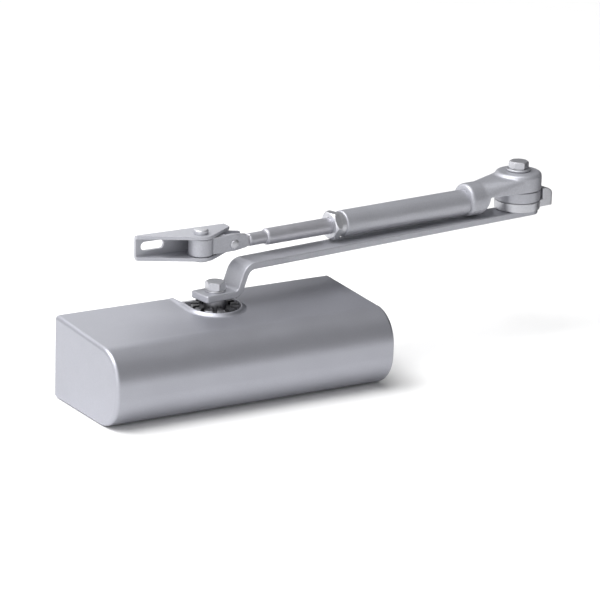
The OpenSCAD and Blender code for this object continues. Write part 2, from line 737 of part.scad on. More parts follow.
module frame_bracket() color(paint)
    at_pivot(bracket_z)
        difference() {
            union() {
                linear_extrude(bracket_t) ear();
                translate([0, 0, bracket_h - bracket_t]) linear_extrude(bracket_t) ear();
                translate([web_x[0], web_y[0], 0])
                    cube([web_x[1] - web_x[0], web_y[1] - web_y[0], bracket_h]);
            }
            translate([0, 0, -1]) cylinder(r = pin_r + snug, h = bracket_h + 2);
            for (x = slot_x) translate([x, web_y[1] + 1, slot_z]) rotate([90, 0, 0])
                linear_extrude(web_y[1] - web_y[0] + 2) {
                    square([slot_l - slot_w, slot_w], center = true);
                    for (s = [-1, 1]) translate([s * (slot_l - slot_w) / 2, 0]) circle(d = slot_w);
                }
        }

module pivot_pin() color(zinc) {
    at_pivot(bracket_z - 1.9) turned(pin_r, bracket_h + 2, 0.5, 0);
    at_pivot(bracket_z + bracket_h + snug) turned(5.3, 3.2, 0, 1);
}

module pin_retainer() color(black) at_pivot(bracket_z - 1.3) ring(6.5, pin_r + snug, 1.2, 0.2);

// ---- Assembly ------------------------------------------------------------

cover();
mounting_plate();
housing();
body_screws();
spring_end_plug();
pressure_end_plug();
plug_seals();
upper_bearing();
lower_bearing();
shaft_seal();
gland_nut();
lower_cap();
outer_spring();
inner_spring();
pinion_shaft();
piston();
piston_rings();
check_valve_seat();
check_ball();
closing_speed_valve();
latching_speed_valve();
main_arm();
arm_washer();
arm_screw();
elbow_bolt();
elbow_washer();
elbow_bush();
hold_open_plate();
hold_open_disc();
detent_ball();
detent_spring();
forearm_fitting();
forearm_tube();
tube_insert();
lock_nut();
adjusting_rod();
swivel_fork();
fork_rivet();
frame_bracket();
pivot_pin();
pin_retainer();
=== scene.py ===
import json
import math

import bmesh
import bpy
from mathutils import Matrix, Vector


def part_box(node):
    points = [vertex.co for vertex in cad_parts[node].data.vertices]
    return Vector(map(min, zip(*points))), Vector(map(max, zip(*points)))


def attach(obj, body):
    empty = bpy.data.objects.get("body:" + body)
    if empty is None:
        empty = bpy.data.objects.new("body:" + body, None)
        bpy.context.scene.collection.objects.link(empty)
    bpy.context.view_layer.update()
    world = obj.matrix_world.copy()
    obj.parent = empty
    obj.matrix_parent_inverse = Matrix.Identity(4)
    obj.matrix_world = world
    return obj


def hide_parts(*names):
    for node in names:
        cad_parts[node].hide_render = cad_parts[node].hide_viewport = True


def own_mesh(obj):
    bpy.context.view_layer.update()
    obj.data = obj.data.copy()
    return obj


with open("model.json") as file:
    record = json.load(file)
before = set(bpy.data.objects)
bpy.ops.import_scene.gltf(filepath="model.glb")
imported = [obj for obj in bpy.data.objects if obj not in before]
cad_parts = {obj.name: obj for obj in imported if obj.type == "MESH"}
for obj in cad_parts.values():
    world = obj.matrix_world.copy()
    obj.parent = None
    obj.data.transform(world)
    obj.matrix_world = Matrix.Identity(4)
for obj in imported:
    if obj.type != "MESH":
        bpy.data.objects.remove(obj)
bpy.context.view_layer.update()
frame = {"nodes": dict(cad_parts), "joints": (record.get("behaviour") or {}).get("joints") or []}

# Lengths are millimetres, in the CAD frame, until piece() and studio_block() scale them to metres.
# Only lamps are placed in metres.
MM = 0.001
scene = bpy.context.scene

# ---- Places, from the frame ------------------------------------------------

joints = {j["name"]: j for j in frame["joints"]}


def joint_at(name):
    return Vector(joints[name]["pos_m"]) / MM


def box(node):
    """The two corners of a CAD node's box."""
    lo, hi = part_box(node)
    return lo / MM, hi / MM


def shift(x, y, z):
    return Matrix.Translation((x, y, z))


def turn(degrees, axis):
    return Matrix.Rotation(math.radians(degrees), 4, axis)


def upright(point, angle=0.0):
    """A frame at a point's X and Y, at height 0, with its X axis turned by angle."""
    return shift(point.x, point.y, 0) @ Matrix.Rotation(angle, 4, "Z")


pinion = joint_at("pinion_turn")
elbow = joint_at("elbow_fold")
rivet = joint_at("rod_tilt")
pivot = joint_at("bracket_swivel")
arm_length = (elbow - pinion).xy.length
arm_angle = math.atan2(elbow.y - pinion.y, elbow.x - pinion.x)
fore_length = (pivot - elbow).xy.length
fore_angle = math.atan2(pivot.y - elbow.y, pivot.x - elbow.x)
fore_z = rivet.z
rivet_t = (rivet - elbow).xy.length

on_door = Matrix.Identity(4)
along_arm = upright(pinion, arm_angle)
at_elbow = upright(elbow, arm_angle)
along_forearm = upright(elbow, fore_angle)
at_pivot = upright(pivot)
# Z along the forearm's axis, X down
on_forearm = along_forearm @ shift(0, 0, fore_z) @ turn(90, "Y")
# Z along the rivet's axis, for shapes made in the forearm's frame
at_rivet = shift(rivet_t, 0, fore_z) @ turn(90, "X")

# ---- Mesh tools ------------------------------------------------------------

# Heights well below and above the arms' pieces, between which cutting shapes reach
under_all = 40.0
over_all = 110.0


def on_circle(cx, cy, r, degrees):
    """The point of a circle at an angle."""
    a = math.radians(degrees)
    return Vector((cx + r * math.cos(a), cy + r * math.sin(a)))


def arc(cx, cy, r, a0, a1, steps):
    """Points on an arc, angles in degrees."""
    return [on_circle(cx, cy, r, a0 + (a1 - a0) * i / steps) for i in range(steps + 1)]


def quarter(steps=8):
    """Angles over a quarter turn, in radians."""
    return [math.pi / 2 * i / steps for i in range(steps + 1)]


def rounded(corners, radii, inset=0.0, steps=6):
    """A closed counter-clockwise outline, drawn in by inset, with each corner rounded to its radius."""
    points = [Vector(c) for c in corners]
    count = len(points)
    out = []
    for i, p in enumerate(points):
        ahead = (points[(i + 1) % count] - p).normalized()
        behind = (p - points[i - 1]).normalized()
        n0 = Vector((-behind.y, behind.x))
        n1 = Vector((-ahead.y, ahead.x))
        q = p + (n0 + n1) * (inset / (1 + n0.dot(n1)))
        bend = math.atan2(behind.x * ahead.y - behind.y * ahead.x, behind.dot(ahead))
        if radii[i] == 0 or abs(bend) < 1e-4:
            out.append(q)
            continue
        side = 1 if bend > 0 else -1
        r = max(radii[i] - side * inset, 0.02)
        reach = r * math.tan(abs(bend) / 2)
        centre = q - behind * reach + n0 * (side * r)
        start = math.degrees(math.atan2(*(-side * n0).yx))
        out += arc(centre.x, centre.y, r, start, start + math.degrees(bend), steps)
    return out


def edge_levels(z0, z1, r0, r1, steps=4):
    """Heights and insets of a solid's side whose lower and upper edges are rounded to r0 and r1."""
    low = [(z0, 0.0)]
    high = [(z1, 0.0)]
    if r0:
        low = [(z0 + r0 * (1 - math.sin(a)), r0 * (1 - math.cos(a))) for a in reversed(quarter(steps))]
    if r1:
        high = [(z1 - r1 * (1 - math.sin(a)), r1 * (1 - math.cos(a))) for a in quarter(steps)]
    return low + high


def loft(rings, caps=True):
    """A skin over closed rings of equally many points."""
    bm = bmesh.new()
    made = [[bm.verts.new(p) for p in ring] for ring in rings]
    for low, high in zip(made, made[1:]):
        for i in range(len(low)):
            bm.faces.new((low[i - 1], low[i], high[i], high[i - 1]))
    if caps:
        bm.faces.new(list(reversed(made[0])))
        bm.faces.new(made[-1])
    return bm


def plate(corners, radii, z0, z1, r0, r1):
    """A flat plate with rounded corners and edges."""
    rings = []
    for z, inset in edge_levels(z0, z1, r0, r1):
        rings.append([Vector((p.x, p.y, z)) for p in rounded(corners, radii, inset)])
    return loft(rings)


def lathe(profile, steps=96, closed=False):
    """A solid of revolution about Z. The profile is (radius, height) points; closed makes a ring."""
    bm = bmesh.new()
    count = len(profile)
    rows = []
    for k in range(steps):
        a = 2 * math.pi * k / steps
        rows.append([bm.verts.new((r * math.cos(a), r * math.sin(a), z)) for r, z in profile])
    for k in range(steps):
        for i in range(count if closed else count - 1):
            j = (i + 1) % count
            bm.faces.new((rows[k - 1][i], rows[k][i], rows[k][j], rows[k - 1][j]))
    bmesh.ops.remove_doubles(bm, verts=bm.verts, dist=1e-4)
    return bm


def turned(r, z0, z1, r0, r1, bore=0.0, steps=96):
    """A turned piece with rounded ends, and a bore if it has one."""
    side = [(r - inset, z) for z, inset in edge_levels(z0, z1, r0, r1)]
    if bore:
        return lathe([(bore, z1)] + side[::-1] + [(bore, z0)], steps, closed=True)
    return lathe([(0, z0)] + side + [(0, z1)], steps)


def moved(bm, *matrices):
    for m in matrices:
        bm.transform(m)
    return bm


def to_object(bm):
    """An object with this mesh, which uses the bmesh up."""
    mesh = bpy.data.meshes.new("scratch")
    bmesh.ops.recalc_face_normals(bm, faces=bm.faces)
    bm.to_mesh(mesh)
    bm.free()
    obj = bpy.data.objects.new("scratch", mesh)
    scene.collection.objects.link(obj)
    return obj


def modified(bm, *modifiers):
    """The mesh after modifiers, each given as (kind, settings)."""
    obj = to_object(bm)
    for kind, settings in modifiers:
        m = obj.modifiers.new(kind, kind)
        for key, value in settings.items():
            setattr(m, key, value)
    out = bmesh.new()
    out.from_mesh(obj.evaluated_get(bpy.context.evaluated_depsgraph_get()).to_mesh())
    bpy.data.objects.remove(obj)
    return out


def combined(bm, operation, *others):
    """Boolean of bm with each of the others in turn."""
    for other in others:
        tool = to_object(other)
        bm = modified(bm, ("BOOLEAN", {"operation": operation, "solver": "EXACT", "object": tool}))
        bpy.data.objects.remove(tool)
    return bm


def cut(bm, *others):
    return combined(bm, "DIFFERENCE", *others)


def fuse(bm, *others):
    return combined(bm, "UNION", *others)


def cast(bm, voxel, smoothing):
    """Softens a solid's edges and inner corners, as a casting's are."""
    return modified(bm, ("REMESH", {"mode": "VOXEL", "voxel_size": voxel}),
                    ("SMOOTH", {"factor": 0.5, "iterations": smoothing}))


def bevelled(bm, width, segments, angle):
    """The mesh with its edges that are sharper than an angle in degrees rounded."""
    return modified(bm, ("BEVEL", {"width": width, "segments": segments, "limit_method": "ANGLE",
                                   "angle_limit": math.radians(angle), "miter_outer": "MITER_ARC"}))


def block(x0, x1, y0, y1, z0, z1):
    """A box between two values on each axis."""
    bm = bmesh.new()
    bmesh.ops.create_cube(bm, size=1)
    size = Matrix.Diagonal((x1 - x0, y1 - y0, z1 - z0, 1))
    return moved(bm, size, shift((x0 + x1) / 2, (y0 + y1) / 2, (z0 + z1) / 2))


def prism_y(outline, width):
    """An outline in X and Z, made width thick across Y."""
    rings = [[Vector((p[0], y, p[1])) for p in outline] for y in (width / 2, -width / 2)]
    return loft(rings)


def prism_z(outline, z0, z1):
    """An outline in X and Y, raised from z0 to z1."""
    return loft([[Vector((p[0], p[1], z)) for p in outline] for z in (z0, z1)])


def bored(bm, r):
    """The mesh with a bore about Z right through it."""
    return cut(bm, turned(r, under_all, over_all, 0, 0, steps=64))


def piece(name, bm, place, body, material, nodes, sharp=32):
    """Makes an object of a mesh in millimetres, riding on a body, that stands for CAD nodes."""
    bm.transform(Matrix.Scale(MM, 4) @ place)
    bmesh.ops.recalc_face_normals(bm, faces=bm.faces)
    mesh = bpy.data.meshes.new(name)
    bm.to_mesh(mesh)
    bm.free()
    mesh.materials.append(material)
    mesh.shade_smooth()
    mesh.set_sharp_from_angle(angle=math.radians(sharp))
    obj = bpy.data.objects.new(name, mesh)
    scene.collection.objects.link(obj)
    weighted = obj.modifiers.new("normals", "WEIGHTED_NORMAL")
    weighted.keep_sharp = True
    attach(obj, body)
    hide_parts(*nodes)
    return obj


# ---- Materials -------------------------------------------------------------

# Scales of the broad patches, of the smears that vary the gloss, and of the rubbed spots on edges
patch_scale = 28.0
smear_scale = 70.0
rub_scale = 260.0


def feed(tree, socket, value):
    """Links a socket to another one, or sets it to a plain value."""
    if isinstance(value, bpy.types.NodeSocket):
        tree.links.new(value, socket)
    else:
        socket.default_value = value


def add_node(tree, kind, inputs=None, **settings):
    """A new node with its settings, and with its inputs linked or set."""
    n = tree.nodes.new(kind)
    for key, value in settings.items():
        setattr(n, key, value)
    for key, value in (inputs or {}).items():
        feed(tree, n.inputs[key], value)
    return n


def noise(tree, coords, scale, detail, stretch=None):
    """Noise at a scale, stretched along an axis if its stretch is under 1."""
    if stretch:
        coords = add_node(tree, "ShaderNodeMapping", {"Vector": coords, "Scale": stretch}).outputs[0]
    inputs = {"Vector": coords, "Scale": scale, "Detail": detail}
    return add_node(tree, "ShaderNodeTexNoise", inputs).outputs["Fac"]


def spread(tree, value, low, high, start=0.3, end=0.7):
    """A value that runs from start to end, mapped to run from low to high."""
    inputs = {"Value": value, "From Min": start, "From Max": end, "To Min": low, "To Max": high}
    return add_node(tree, "ShaderNodeMapRange", inputs).outputs["Result"]


def color_socket(sockets, name):
    """A mix node has sockets of one name for each kind of value, and this is the colour's."""
    return next(s for s in sockets if s.name == name and s.type == "RGBA")


def mixed(tree, factor, a, b, how="MIX"):
    """A mix of two colours."""
    mix = add_node(tree, "ShaderNodeMix", {"Factor": factor}, data_type="RGBA", blend_type=how)
    feed(tree, color_socket(mix.inputs, "A"), a)
    feed(tree, color_socket(mix.inputs, "B"), b)
    return color_socket(mix.outputs, "Result")


def tint(tree, color, factor):
    """A colour multiplied by a varying factor."""
    grey = add_node(tree, "ShaderNodeCombineColor", {"Red": factor, "Green": factor, "Blue": factor})
    return mixed(tree, 1.0, color, grey.outputs[0], "MULTIPLY")


def edge_wear(tree, coords, reach):
    """How rubbed the surface is, from 0 to 1: most on edges, in patches, and within reach of them."""
    round_normal = add_node(tree, "ShaderNodeBevel", {"Radius": reach * MM}, samples=4).outputs[0]
    flat_normal = add_node(tree, "ShaderNodeNewGeometry").outputs["Normal"]
    agree = add_node(tree, "ShaderNodeVectorMath", {0: round_normal, 1: flat_normal}, operation="DOT_PRODUCT")
    worn = spread(tree, agree.outputs["Value"], 1.0, 0.0, start=0.86, end=0.985)
    patchy = spread(tree, noise(tree, coords, rub_scale, 3.0), 0.25, 1.0, start=0.4, end=0.62)
    return add_node(tree, "ShaderNodeMath", {0: worn, 1: patchy}, operation="MULTIPLY").outputs[0]


def finish(name, color, metallic, roughness, mottle, vary=0.05, grain=(900.0, 0.05), relief=0.01,
           relief_scale=500.0, edge=None, wear=0.5, stretch=None):
    """A procedural finish. vary is how far the roughness wanders, and mottle how much broad patches vary
    the colour. grain is the scale and depth of fine colour grain, relief and relief_scale the height in
    millimetres and the scale of the surface texture, and stretch the scale of both along each axis. edge
    is the colour that shows where edges are rubbed, and wear how far in that reaches, in millimetres."""
    mat = bpy.data.materials.new(name)
    mat.use_nodes = True
    tree = mat.node_tree
    shader = tree.nodes["Principled BSDF"]
    coords = add_node(tree, "ShaderNodeTexCoord").outputs["Object"]
    patches = spread(tree, noise(tree, coords, patch_scale, 3.0), 1 - mottle, 1 + mottle)
    fine = spread(tree, noise(tree, coords, grain[0], 2.0, stretch), 1 - grain[1], 1 + grain[1])
    shade = tint(tree, tint(tree, (*color, 1.0), patches), fine)
    smears = noise(tree, coords, smear_scale, 4.0, stretch)
    if edge:
        shade = mixed(tree, edge_wear(tree, coords, wear), shade, (*edge, 1.0))
    height = noise(tree, coords, relief_scale, 3.0, stretch)
    bump = add_node(tree, "ShaderNodeBump", {"Height": height, "Strength": 1.0, "Distance": relief * MM})
    tree.links.new(shade, shader.inputs["Base Color"])
    tree.links.new(spread(tree, smears, roughness - vary, roughness + vary), shader.inputs["Roughness"])
    tree.links.new(bump.outputs[0], shader.inputs["Normal"])
    shader.inputs["Metallic"].default_value = metallic
    return mat


cover_paint = finish("silver_paint_cover", (0.385, 0.39, 0.43), metallic=0.88, roughness=0.47, vary=0.02,
                     mottle=0.012, grain=(1500.0, 0.04), relief=0.005, relief_scale=420.0,
                     edge=(0.60, 0.60, 0.62), wear=1.5)
arm_paint = finish("silver_paint_arm", (0.39, 0.395, 0.43), metallic=0.55, roughness=0.46, vary=0.04,
                   mottle=0.03, grain=(1300.0, 0.06), relief=0.010, relief_scale=380.0,
                   edge=(0.66, 0.66, 0.68))
cast_paint = finish("silver_paint_cast", (0.39, 0.395, 0.43), metallic=0.55, roughness=0.46, vary=0.05,
                    mottle=0.04, grain=(900.0, 0.07), relief=0.025, relief_scale=260.0,
                    edge=(0.62, 0.62, 0.64))
zinc = finish("zinc_plate", (0.50, 0.505, 0.535), metallic=0.75, roughness=0.38, vary=0.06, mottle=0.05,
              grain=(700.0, 0.05), relief=0.006, relief_scale=600.0, edge=(0.74, 0.74, 0.75))
drawn_steel = finish("drawn_steel", (0.42, 0.42, 0.455), metallic=0.7, roughness=0.46, vary=0.05,
                     mottle=0.04, grain=(500.0, 0.06), relief=0.006, relief_scale=300.0,
                     edge=(0.68, 0.68, 0.69), stretch=(0.3, 1, 1))
turned_steel = finish("turned_steel", (0.34, 0.34, 0.36), metallic=1.0, roughness=0.34, vary=0.06,
                      mottle=0.05, grain=(500.0, 0.08), relief=0.008, relief_scale=300.0,
                      edge=(0.66, 0.66, 0.66), wear=0.3, stretch=(1, 1, 6))
# The gland nut's colour is painted shade: its steel is made near-black to stand for the shade deep in the
# cover's notch round the pinion.
gland_steel_painted_shade = finish("gland_steel_painted_shade", (0.13, 0.13, 0.14), metallic=0.9, roughness=0.42, mottle=0.1,
                     relief=0.015, edge=(0.34, 0.34, 0.35), wear=0.3)
spring_steel = finish("spring_steel", (0.20, 0.20, 0.22), metallic=1.0, roughness=0.38, mottle=0.1)
die_cast = finish("die_cast", (0.38, 0.38, 0.40), metallic=1.0, roughness=0.5, vary=0.08, mottle=0.08,
                  grain=(600.0, 0.1), relief=0.05, relief_scale=200.0)
rubber = finish("black_rubber", (0.02, 0.02, 0.022), metallic=0.0, roughness=0.6, mottle=0.1,
                relief=0.02)
brass = finish("valve_brass", (0.62, 0.46, 0.20), metallic=1.0, roughness=0.30, mottle=0.06,
               stretch=(6, 1, 1))
black_steel = finish("black_steel", (0.035, 0.035, 0.04), metallic=0.6, roughness=0.42, vary=0.08,
                     mottle=0.2, relief=0.02, edge=(0.20, 0.20, 0.21))

# ---- Cover -----------------------------------------------------------------

cover_lo, cover_hi = box("cover")
cover_l = cover_hi.x - cover_lo.x
cover_d = -cover_lo.y
cover_half = -cover_lo.z
cover_wall = 2.2
nose_top_r = 23.5
nose_low_r = 25.5
nose_flat_z = 3.0
notch_w = 37.0
notch_d = 45.5
end_fillet = 3.0
inner_fillet = 1.0
rear_y = -0.2           # the cover's rear edge
past_rear = 5.0         # where the shapes that cut it begin
lip_start = 0.15        # the lip's height at y = 0, as a share of its full height
lip_run = 22.0          # the distance forward over which it gains its full height


def top_slope():
    """How steeply the cover's top falls from its rear edge to the nose."""
    run = cover_d - nose_top_r
    drop = cover_half - nose_flat_z
    reach = math.hypot(run, drop)
    return math.degrees(math.acos(nose_top_r / reach) - math.atan2(run, drop))


slope = top_slope()


def cover_outline(inset, rear):
    """The cover's end as Y and Z points, from its lower rear corner to its upper one."""
    low = arc(cover_d - nose_low_r, nose_low_r - cover_half, nose_low_r - inset, -90, 0, 24)
    top = arc(cover_d - nose_top_r, nose_flat_z, nose_top_r - inset, 0, 90 + slope, 24)
    run = math.tan(math.radians(slope))
    thick = inset / math.cos(math.radians(slope))
    points = [Vector((-rear, inset - cover_half))] + low + top
    points.append(Vector((-rear, cover_half - thick + rear * run)))
    return [Vector((-p.x, p.y)) for p in points]


def cover_shell(length, inset, fillet, rear):
    """A D-shaped solid along X whose ends are rounded to fillet."""
    ends = [(length / 2 - fillet * (1 - math.sin(a)), fillet * (1 - math.cos(a))) for a in quarter()]
    stations = [(-x, d) for x, d in reversed(ends)] + ends
    rings = []
    for x, d in stations:
        rings.append([Vector((x, p.x, p.y)) for p in cover_outline(inset + d, rear)])
    return loft(rings)


def notch_path(offset, rear=rear_y):
    """The notch's edge from its rear left round the front to its rear right, drawn out by offset."""
    r = notch_w / 2 + offset
    centre = notch_w / 2 - notch_d
    steps = 8
    side = [rear + (centre - rear) * i / steps for i in range(steps)]
    left = [Vector((-r, y)) for y in side]
    right = [Vector((r, y)) for y in reversed(side)]
    return left + arc(0, centre, r, 180, 360, 48) + right


def cover_top(y):
    """Height of the cover's sloping top."""
    return cover_half + y * math.tan(math.radians(slope))


def notch_lip():
    """The raised rim round the notch: a rounded ridge that sinks into the cover's top towards its rear."""
    section = [(0.0, -2.6), (0.0, 1.75), (0.1, 2.0), (0.35, 2.17), (0.7, 2.2), (1.1, 2.12), (1.5, 1.85),
               (1.9, 1.4), (2.35, 0.85), (2.9, 0.4), (3.6, 0.1), (4.2, -0.04), (4.2, -2.6)]
    paths = [notch_path(out) for out, _ in section]
    rings = []
    for stations in zip(*paths):
        rise = min(1.0, lip_start - stations[0].y / lip_run)
        ring = []
        for p, (_, h) in zip(stations, section):
            ring.append(Vector((p.x, p.y, cover_top(p.y) + (h * rise if h > 0 else h))))
        rings.append(ring)
    return loft(rings)


shell = cut(cover_shell(cover_l, 0.0, end_fillet, rear_y),
            cover_shell(cover_l - 2 * cover_wall, cover_wall, inner_fillet, past_rear))
shell = fuse(shell, notch_lip())
shell = cut(shell, prism_z(notch_path(0.0, past_rear), cover_half - 8, cover_half + 8))
piece("cover_shell", shell, on_door, "closer_body", cover_paint, ["cover"], sharp=28)

# ---- Main arm --------------------------------------------------------------

arm_lo, arm_hi = box("main_arm")
arm_w = 19.5
arm_thick = 5.0
hub_z = arm_lo.z + arm_thick / 2    # mid-planes of the hub and the bar
bar_z = arm_hi.z - arm_thick / 2
hub_back = 14.0
tip_x = arm_length + 8.0            # centre of the round tip
ramp_angle = 68.0
ramp_mid = 18.0
hub_bend = 6.0
bar_bend = 9.0
arm_corner = 2.0
arm_edge = 0.9


def arm_line():
    """The arm's mid-line in X and Z, as (point, direction in radians) stations between its two ends."""
    run = (bar_z - hub_z) / math.tan(math.radians(ramp_angle))
    half = math.tan(math.radians(ramp_angle / 2))
    hub_end = ramp_mid - run / 2 - hub_bend * half
    bar_start = ramp_mid + run / 2 + bar_bend * half
    bar_end = tip_x - 2
    hub_steps, bar_steps, straight_steps = 14, 16, 12
    line = []
    for i in range(hub_steps + 1):
        a = ramp_angle * i / hub_steps
        line.append((on_circle(hub_end, hub_z + hub_bend, hub_bend, a - 90), math.radians(a)))
    for i in range(bar_steps + 1):
        a = ramp_angle * (1 - i / bar_steps)
        line.append((on_circle(bar_start, bar_z - bar_bend, bar_bend, 90 + a), math.radians(a)))
    for i in range(1, straight_steps):
        line.append((Vector((bar_start + (bar_end - bar_start) * i / straight_steps, bar_z)), 0.0))
    return line


def strip(bm, a, b):
    """Faces between two rows of vertices."""
    for i in range(len(a) - 1):
        bm.faces.new((a[i], a[i + 1], b[i + 1], b[i]))


def arm_skin():
    """The cranked bar: outlines at several levels through its thickness, bent along the mid-line."""
    bm = bmesh.new()
    levels = []
    for t, inset in edge_levels(-arm_thick / 2, arm_thick / 2, arm_edge, arm_edge, 5):
        half = arm_w / 2 - inset
        hub = arc(arm_corner - hub_back, arm_w / 2 - arm_corner, arm_corner - inset, 180, 90, 6)
        side = [Vector((p.x, -p.y, hub_z + t)) for p in hub]
        side += [Vector((p.x - t * math.sin(a), -half, p.y + t * math.cos(a))) for p, a in arm_line()]
        side += [Vector((p.x, p.y, bar_z + t)) for p in arc(tip_x, 0, half, -90, 0, 14)]
        right = [bm.verts.new(p) for p in side]
        left = [bm.verts.new((p.x, -p.y, p.z)) for p in side]
        levels.append((right, left))
    for (low_right, low_left), (high_right, high_left) in zip(levels, levels[1:]):
        strip(bm, low_right, high_right)
        strip(bm, high_left, low_left)
        # the hub's square end
        bm.faces.new((low_right[0], high_right[0], high_left[0], low_left[0]))
    strip(bm, *levels[0])
    strip(bm, *levels[-1])
    bmesh.ops.remove_doubles(bm, verts=bm.verts, dist=1e-4)
    return bm


piece("arm_bar", arm_skin(), along_arm, "main_arm", arm_paint, ["main_arm"])

# ---- Fasteners -------------------------------------------------------------

bolt_head_af = 13.0
bolt_r = 4.0
# Diameters of a head's flat underside and flat top, as shares of its width across flats
washer_face = 0.985
head_top = 0.94


def hexagon(across):
    """A hexagon's outline with slightly rounded corners and points along each flat."""
    corner = 0.3
    along_flat = 8
    reach = across / 2 / math.cos(math.radians(30))
    outline = rounded(arc(0, 0, reach, 0, 300, 5), [corner] * 6, steps=4)
    out = []
    for p, q in zip(outline, outline[1:] + outline[:1]):
        steps = along_flat if (q - p).length > across / 4 else 1
        out += [p.lerp(q, i / steps) for i in range(steps)]
    return out


def hex_solid(across, z0, z1, low_chamfer, high_chamfer, bore=0.0, fall=30):
    """A hexagon whose ends are turned off in a cone that starts at a chamfer's circle."""
    outline = hexagon(across)
    most = max(p.length for p in outline)
    drop = math.tan(math.radians(fall))
    shares = [i / 8 for i in range(9)]

    def circle(r, z):
        """The outline's points drawn in to a circle."""
        return [Vector((*(p.normalized() * r), z)) for p in outline]

    def level(limit, z, start, sign):
        """The outline cut off at a radius, and lowered or raised to the cone."""
        ring = []
        for p in outline:
            r = min(p.length, limit)
            over = max(0.0, r - start)
            ring.append(Vector((*(p.normalized() * r), z - sign * over * drop)))
        return ring

    rings = [level(low_chamfer + (most - low_chamfer) * k, z0, low_chamfer, -1) for k in shares]
    rings += [level(high_chamfer + (most - high_chamfer) * k, z1, high_chamfer, 1) for k in reversed(shares)]
    if bore:
        rings = [circle(bore, z0)] + rings + [circle(bore, z1), circle(bore, z0)]
    else:
        rings.append(circle(high_chamfer - 0.5, z1))
    bm = loft(rings, caps=not bore)
    bmesh.ops.remove_doubles(bm, verts=bm.verts, dist=1e-4)
    return bm


def hex_bolt(node, place, body, head, angle):
    """A hexagon bolt: the head with its turned top, and the shank down to the CAD bolt's end."""
    lo, hi = box(node)
    z = hi.z - head
    half = bolt_head_af / 2
    top = hex_solid(bolt_head_af, z, hi.z, half * washer_face, half * head_top)
    shank = turned(bolt_r, lo.z, z + 1, 0.6, 0, steps=48)
    bolt = fuse(moved(top, turn(angle, "Z")), shank)
    return piece(node + "_body", bolt, place, body, zinc, [node])


hex_bolt("arm_screw", along_arm, "main_arm", head=6.0, angle=15)
hex_bolt("elbow_bolt", at_elbow, "main_arm", head=5.6, angle=22)

# ---- Elbow -----------------------------------------------------------------

plate_lo, plate_hi = box("hold_open_plate")
disc_lo, disc_hi = box("hold_open_disc")
bush_bore = 7.05
disc_r = 17.0
lug_reach = 28.0
lug_r = 8.0
lug_w = 18.0
lug_corner = 2.5


def lug_disc():
    """The lower disc and its lug, which stands up beside the upper disc and has a rounded shoulder."""
    low = plate_lo.z
    top = disc_lo.z - 0.2
    body = turned(disc_r, low, top, 0.3, 0.3)
    inner = disc_r + 0.5
    side = [(inner, top - 1), (8, top - 1), (8, low), (lug_reach, low)]
    side += [(p.x, p.y) for p in arc(lug_reach - lug_r, plate_hi.z - lug_r, lug_r, 0, 90, 12)]
    side.append((inner, plate_hi.z))
    plan = [(0, -lug_w / 2), (lug_reach, -lug_w / 2), (lug_reach, lug_w / 2), (0, lug_w / 2)]
    corners = rounded(plan, [0, lug_corner, lug_corner, 0])
    lug = combined(prism_y(side, lug_w + 1), "INTERSECT", prism_z(corners, low - 1, over_all))
    return cast(fuse(body, lug), voxel=0.3, smoothing=4)


piece("hold_open_lug", bored(lug_disc(), bush_bore), at_elbow, "hold_open_cam", zinc,
      ["hold_open_plate"])
piece("hold_open_ring", turned(disc_r, disc_lo.z, disc_hi.z, 0.7, 0.7, bore=bush_bore), at_elbow,
      "hold_open_cam", arm_paint, ["hold_open_disc"])

# ---- Forearm ---------------------------------------------------------------

# Names that end in _t are distances along the forearm from the elbow
fitting_lo, fitting_hi = box("forearm_fitting")
boss_r = 17.5
boss_low = disc_hi.z + 0.3
boss_top = fitting_hi.z
socket_r = 12.4
socket_up = 1.6
socket_t = (38.0, 52.0)
tube_r = 9.6
tube_t = (41.0, 164.4)
insert_end = 168.8
insert_r = 8.9
insert_l = 22.0         # how far the insert reaches into the tube
nut_t = (169.0, 174.8)
nut_af = 19.0
rod_r = 5.9
rod_t = 75.0            # the rod's inner end, in the tube
shoulder_t = 229.5
shoulder_l = 2.4
neck_r = 4.6
neck_t = 246.5
flat_half = 2.75        # half the thickness of the rod's flat end
tongue_half = 3.8       # half its width
eye_r = 4.5


def hull(*meshes):
    """The convex hull of several meshes."""
    bm = bmesh.new()
    for other in meshes:
        for v in other.verts:
            bm.verts.new(v.co)
        other.free()
    out = bmesh.ops.convex_hull(bm, input=bm.verts)
    loose = [e for e in out["geom_interior"] + out["geom_unused"] if isinstance(e, bmesh.types.BMVert)]
    bmesh.ops.delete(bm, geom=list(set(loose)), context="VERTS")
    return bm


def along(bm, t, up=0.0):
    """Turns a mesh about Z into one along the forearm, t from the elbow and up above its axis."""
    return moved(bm, turn(90, "Y"), shift(t, 0, fore_z + up))


def forging():
    """Boss, neck and socket of the fitting, blended like a casting, then cut flat underneath."""
    boss = turned(boss_r, boss_low, boss_top, 0.5, 3.0)
    neck = hull(turned(boss_r - 0.4, boss_low + 0.6, boss_top - 2.8, 0, 0.8),
                along(turned(socket_r - 0.3, 0, 2, 0, 0, steps=48), socket_t[0], socket_up))
    socket = along(turned(socket_r, 0, socket_t[1] - socket_t[0], 1.2, 2.6), socket_t[0], socket_up)
    body = cast(fuse(boss, neck, socket), voxel=0.6, smoothing=14)
    under = [(-60, under_all), (120, under_all), (120, fitting_lo.z), (38.5, fitting_lo.z),
             (35, boss_low), (-60, boss_low)]
    body = cast(cut(body, prism_y(under, 80)), voxel=0.4, smoothing=4)
    tube_bore = along(turned(tube_r + 0.03, 0, 40, 0, 0), tube_t[0] - 1)
    return cut(bored(body, bush_bore), tube_bore)


piece("fitting", forging(), along_forearm, "forearm", cast_paint, ["forearm_fitting"])
piece("tube", turned(tube_r, tube_t[0], tube_t[1], 0.5, 1.3, bore=7.0), on_forearm, "forearm", arm_paint,
      ["forearm_tube"])


